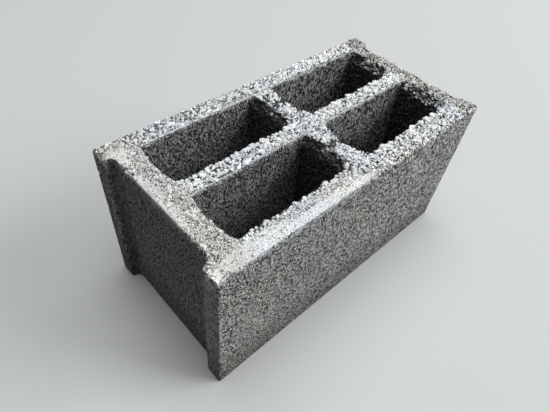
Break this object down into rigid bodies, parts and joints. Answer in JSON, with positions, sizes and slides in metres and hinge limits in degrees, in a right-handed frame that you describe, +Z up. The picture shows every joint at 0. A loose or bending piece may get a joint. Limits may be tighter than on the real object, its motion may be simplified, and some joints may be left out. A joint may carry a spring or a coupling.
{
  "type": "hollow concrete block",
  "caption": "Hollow walling block of open-textured concrete with through cells and a mortar groove in each end.",
  "frame": {"origin": "middle of the bed face, at the middle of the block's length and width", "axes": "+X along the block's length, +Y across its width, +Z up along the cells from the bed face to the tamped top face"},
  "size_m": [0.4, 0.2, 0.2],
  "materials": {
    "concrete": "rough open-textured grey concrete, moulded sides and an uneven tamped top"
  },
  "bodies": {
    "root": {"hollow_block": "concrete"}
  },
  "joints": []
}
